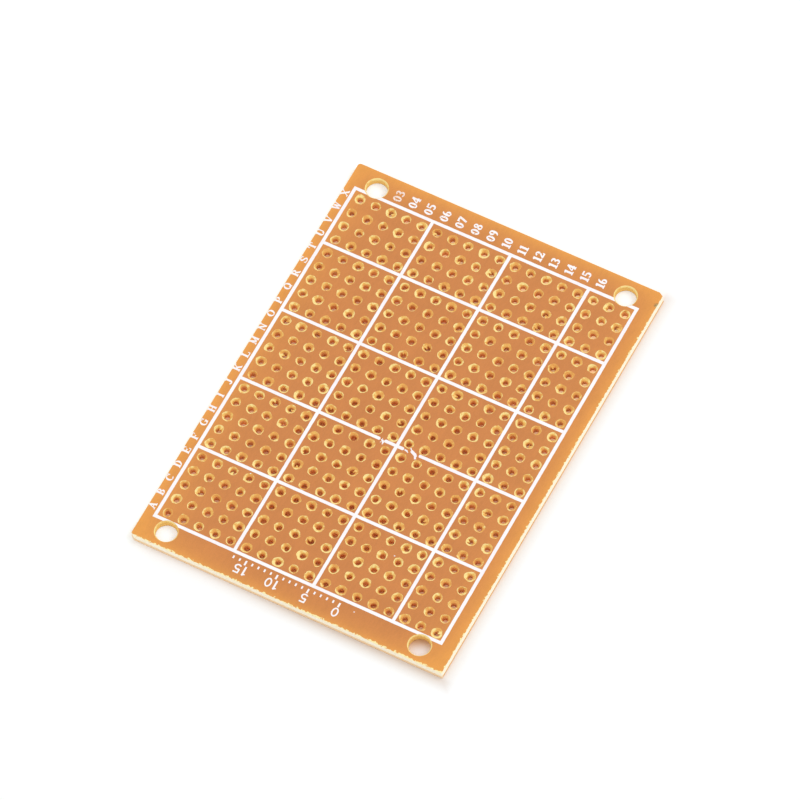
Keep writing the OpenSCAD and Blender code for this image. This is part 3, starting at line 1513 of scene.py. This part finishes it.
def scale_words() -> list[Word]:
    """The plain millimetre scale on the near margin, which reads from the far side.

    Returns:
        Its ticks, longer at every fifth one, and the numbers over them.
    """
    zero_x, tick_y, foot_y = 6.9 * MM, -31.1 * MM, -31.98 * MM
    words = [Word("!" if n % 5 else "|", zero_x - n * MM, tick_y, 0.9) for n in range(18)]
    for n, signs in ((0, "o"), (5, "s"), (10, "io"), (15, "is")):
        half = 0.5 * MM if len(signs) == 1 else 0.95 * MM
        words.append(Word(signs, zero_x - n * MM + half, foot_y, 0.95))
    return words


def index_lettering() -> list[Lettering]:
    """Row letters, column numbers and the plain scale along the near edge.

    Returns:
        One entry for each kind of sign.
    """
    letters = []
    for row, sign in enumerate("ABCDEFGHIJKLMNOPQRSTUVWX"):
        letters.append(Word(sign, -23.86 * MM, BOARD.hole(0, row)[1] + 0.08 * MM - 0.55 * MM, 1.15))
    numbers = []
    for n in range(3, 17):
        x = BOARD.hole(n - 1, 0)[0]
        foot_y = 31.42 * MM + 0.0055 * x
        numbers.append(Word(f"{n:02d}", x + 0.365 * MM, foot_y, {3: 1.2, 4: 1.25}.get(n, 1.3)))
    worn = InkFinish(name="white_ink_worn", worn=0.04)
    faint = InkFinish(name="white_ink_faint", white=(252, 238, 232), soft=(246, 222, 208), worn=0.05)
    return [
        Lettering("row_letters", letters, height=1.1 * MM, wide=1.18),
        Lettering("column_numbers", numbers[7:]),
        Lettering("worn_column_numbers", numbers[1:7], finish=worn),
        Lettering("faint_column_numbers", numbers[:1], finish=faint),
        Lettering("edge_scale", scale_words(), height=1.5 * MM, turn=180.0),
    ]


@dataclass
class Leftovers:
    """Flakes of ink beside the worn crossing, and stray specks, with their strokes in millimetres."""

    ragged: Ragged = Ragged("leftover", 0.08 * MM, 0.03 * MM, 0.2 * MM)
    strokes: tuple[Bar, ...] = (
        # the slanting flake
        Bar(4.08, -4.32, 4.5, -4.8, 0.16),
        Bar(4.36, -4.72, 5.22, -5.1, 0.46),
        Bar(4.95, -4.86, 5.36, -5.3, 0.4),
        Bar(5.1, -4.98, 5.46, -5.7, 0.3),
        # the splinter in the gap on the left
        Bar(-0.38, -4.98, 0.1, -5.04, 0.15),
        Bar(-0.16, -5.02, 0.14, -5.62, 0.13),
        Bar(-0.02, -5.0, 0.16, -5.4, 0.2),
        Bar(-0.3, -4.72, 0.0, -5.02, 0.08),
        Bar(-0.2, -5.0, -0.3, -5.5, 0.06),
        # the wisp behind the stub on the right
        Bar(3.4, -4.94, 3.85, -5.02, 0.24),
        Bar(3.7, -4.96, 4.06, -5.2, 0.16),
        # specks
        Bar(10.1, -20.95, 10.3, -20.9, 0.14),
        Bar(9.22, -31.52, 9.4, -31.45, 0.13),
        Bar(-14.46, -18.34, -14.32, -18.26, 0.12),
    )

    def build(self) -> None:
        """Builds the flakes and specks as one piece."""
        piece = print_strokes([stroke.draw(1.0) for stroke in self.strokes], self.ragged, (MM, MM, MM))
        piece.data.materials.append(InkFinish().build())
        finish_piece(piece, "flakes_and_specks")


# floor, light and camera


@dataclass(frozen=True)
class FloorFinish(Finish):
    """The white floor, with painted shade, painted shadow and painted glow through the holes and beside the
    board.
    """

    name: str = "floor_white"
    roughness: float = 0.9
    specular: float = 0.1
    floor: Colour = (255, 255, 255)
    # painted shade under the middle of the board, and painted light under its outer rows of holes
    shade_under_board: Colour = (240, 178, 122)
    lit_outer_rows: Colour = (255, 226, 186)
    # painted shadow in the near right mounting hole, and painted shade beside the board
    shadow: Colour = (208, 166, 127)
    half_shadow: Colour = (247, 240, 242)
    shaded: Colour = (251, 247, 246)
    shaded_right: Colour = (244, 239, 236)
    shaded_near: Colour = (234, 224, 217)
    # tints of the painted glow: round the board, under the lead holes, under the far right ones and in the
    # mounting holes
    cool_glow: Colour = (200, 255, 255)
    blush_glow: Colour = (255, 222, 185)
    light: Colour = (255, 236, 180)
    clear: Colour = (160, 215, 255)
    # strengths of the painted glow, which only the camera and reflections see
    glow: float = 0.012
    left_glow: float = 0.06
    beside_left_glow: float = 0.07
    edge_glow: float = 0.12
    mount_glow: float = 0.22
    lead_glow: float = 0.13
    far_right_glow: float = 0.34

    def paint(self, surface: Surface) -> None:
        """Adds painted shade, painted shadow, painted light and painted glow by the place under or beside the
        board.

        Args:
            surface: the material's nodes.
        """
        x, y, _ = surface.place.parts()
        far, near = y - HALF_L, -HALF_L - y
        # under the board: inside its outline, and there past the open edges
        lit = (x.magnitude() - HALF_W).at_least(far)
        under = lit.at_least(near).step(-0.3, -0.6)
        covered = under * lit.step(-4.5, -16.0)
        past_field = y.magnitude().step(30.1, 30.4)
        at_leads = under * (1.0 - past_field)
        at_mounts = under * past_field
        near_right = at_mounts * (x.step(5.0, 10.0) * y.step(0.0, -10.0))
        far_right = at_leads * (y.step(-4.0, 32.0) * x.step(-40.0, 20.0))
        # painted shade along the right and near edges
        out = (x - HALF_W).at_least(near)
        past = (-HALF_W - x).at_least(far)
        beside = out.step(2.4, 0.0) * out.step(-0.6, -0.1) * past.step(1.5, 0.0)
        to_right = x.step(-15.0, 10.0)
        shade = surface.mix(to_right, self.shaded, self.shaded_right)
        shade = surface.mix(to_right * near.step(-0.5, 0.3), shade, self.shaded_near)
        colour = surface.mix(beside, self.floor, shade)
        # painted light under the outer rows of lead holes
        colour = surface.mix(at_leads, colour, self.lit_outer_rows)
        # painted shadow in the near right mounting hole
        shadow = surface.mix((x * 0.4 - y * 0.9).step(35.3, 37.4), self.shadow, self.half_shadow)
        colour = surface.mix(near_right, colour, shadow)
        # painted shade under the middle of the board
        surface.give("Base Color", surface.mix(covered, colour, self.shade_under_board))
        # tint of the painted glow
        tint = surface.mix(at_leads, self.cool_glow, surface.mix(far_right, self.blush_glow, self.light))
        surface.give("Emission Color", surface.mix(at_mounts, tint, self.clear))
        # painted glow: it keeps the floor white along the left and far edges, and lights it in the holes
        faded = -24.8 - near.at_least(0.0) * 1.5
        left_edge = x.step(-24.2, -24.8) * x.step(-30.0, -25.0) * y.magnitude().step(34.6, 30.0)
        far_edge = y.step(34.3, 34.8) * y.step(42.0, 36.0) * x.magnitude().step(25.0, 22.0)
        glow = (
            x.step(-20.0, -25.0) * self.left_glow
            + self.glow
            + x.step(-24.2, faded) * self.beside_left_glow
            + left_edge.at_least(far_edge) * self.edge_glow
            + (at_mounts - near_right) * self.mount_glow
            + at_leads * (1.0 - covered) * self.lead_glow
            + far_right * self.far_right_glow
        )
        surface.give("Emission Strength", surface.seen() * glow)


@dataclass
class Studio:
    """Pale floor, soft light and the camera of the picture."""

    floor_size: float = 6.0
    world: float = 0.9
    key_at: Place = (0.5, 0.42, 0.75)
    key_size: float = 0.5
    key_power: float = 1.6
    camera_at: Place = (0.275899, -0.4612345, 0.9295007)
    camera_axes: tuple[Place, Place, Place] = (
        (0.88438, 0.46570, -0.03141),
        (-0.38905, 0.77266, 0.50164),
        (0.25789, -0.43142, 0.86451),
    )
    picture_width: float = 800.0
    focal_length: float = 7495.9
    sensor_width: float = 36.0

    def build(self) -> None:
        """Makes floor, world, lamp and camera."""
        floor = add_square(self.floor_size)
        floor.name = "floor"
        floor.data.materials.append(FloorFinish().build())
        self.make_world()
        self.make_key()
        self.make_camera()

    def make_world(self) -> None:
        """Lights the scene evenly, with a white background for the camera."""
        world = bpy.data.worlds.new("studio")
        world.use_nodes = True
        bpy.context.scene.world = world
        nodes = Nodes(world.node_tree)
        back = world.node_tree.nodes["Background"]
        nodes.put(back.inputs["Color"], (255, 255, 255))
        nodes.put(back.inputs["Strength"], nodes.seen().ramp(0.0, 1.0, self.world, 1.0))

    def make_key(self) -> None:
        """Hangs one wide soft lamp beyond the board's far right corner."""
        bpy.ops.object.light_add(type="AREA", location=self.key_at)
        lamp = bpy.context.object
        lamp.name = "key"
        lamp.data.shape = "DISK"
        lamp.data.size = self.key_size
        lamp.data.energy = self.key_power
        lamp.rotation_euler = (-lamp.location).to_track_quat("-Z", "Y").to_euler()

    def make_camera(self) -> None:
        """Places the camera where the picture was taken from."""
        bpy.ops.object.camera_add()
        camera = bpy.context.object
        turn = Matrix(self.camera_axes).transposed().to_4x4()
        turn.translation = Vector(self.camera_at)
        camera.matrix_world = turn
        camera.data.sensor_width = self.sensor_width
        camera.data.lens = self.focal_length * self.sensor_width / self.picture_width
        camera.data.clip_start = 0.05
        camera.data.clip_end = 20.0
        camera.data.dof.use_dof = False
        bpy.context.scene.camera = camera


# all together


def dress_pads() -> None:
    """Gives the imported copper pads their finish."""
    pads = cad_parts["copper_pads"]
    finish = CopperFinish().build()
    if not pads.material_slots:
        pads.data.materials.append(finish)
    for slot in pads.material_slots:
        slot.material = finish
    log.info("copper_pads: packed solids with the finish %s", finish.name)


def main() -> None:
    """Builds the pieces in order, then the studio round them."""
    logging.basicConfig(level=logging.INFO, format="%(name)s: %(message)s")
    bpy.context.scene.view_settings.view_transform = "Standard"
    for sub_assembly in (Laminate(), Shreds(), PrintedGrid(), *index_lettering(), Leftovers()):
        sub_assembly.build()
    dress_pads()
    Studio().build()


if __name__ == "__main__":
    main()
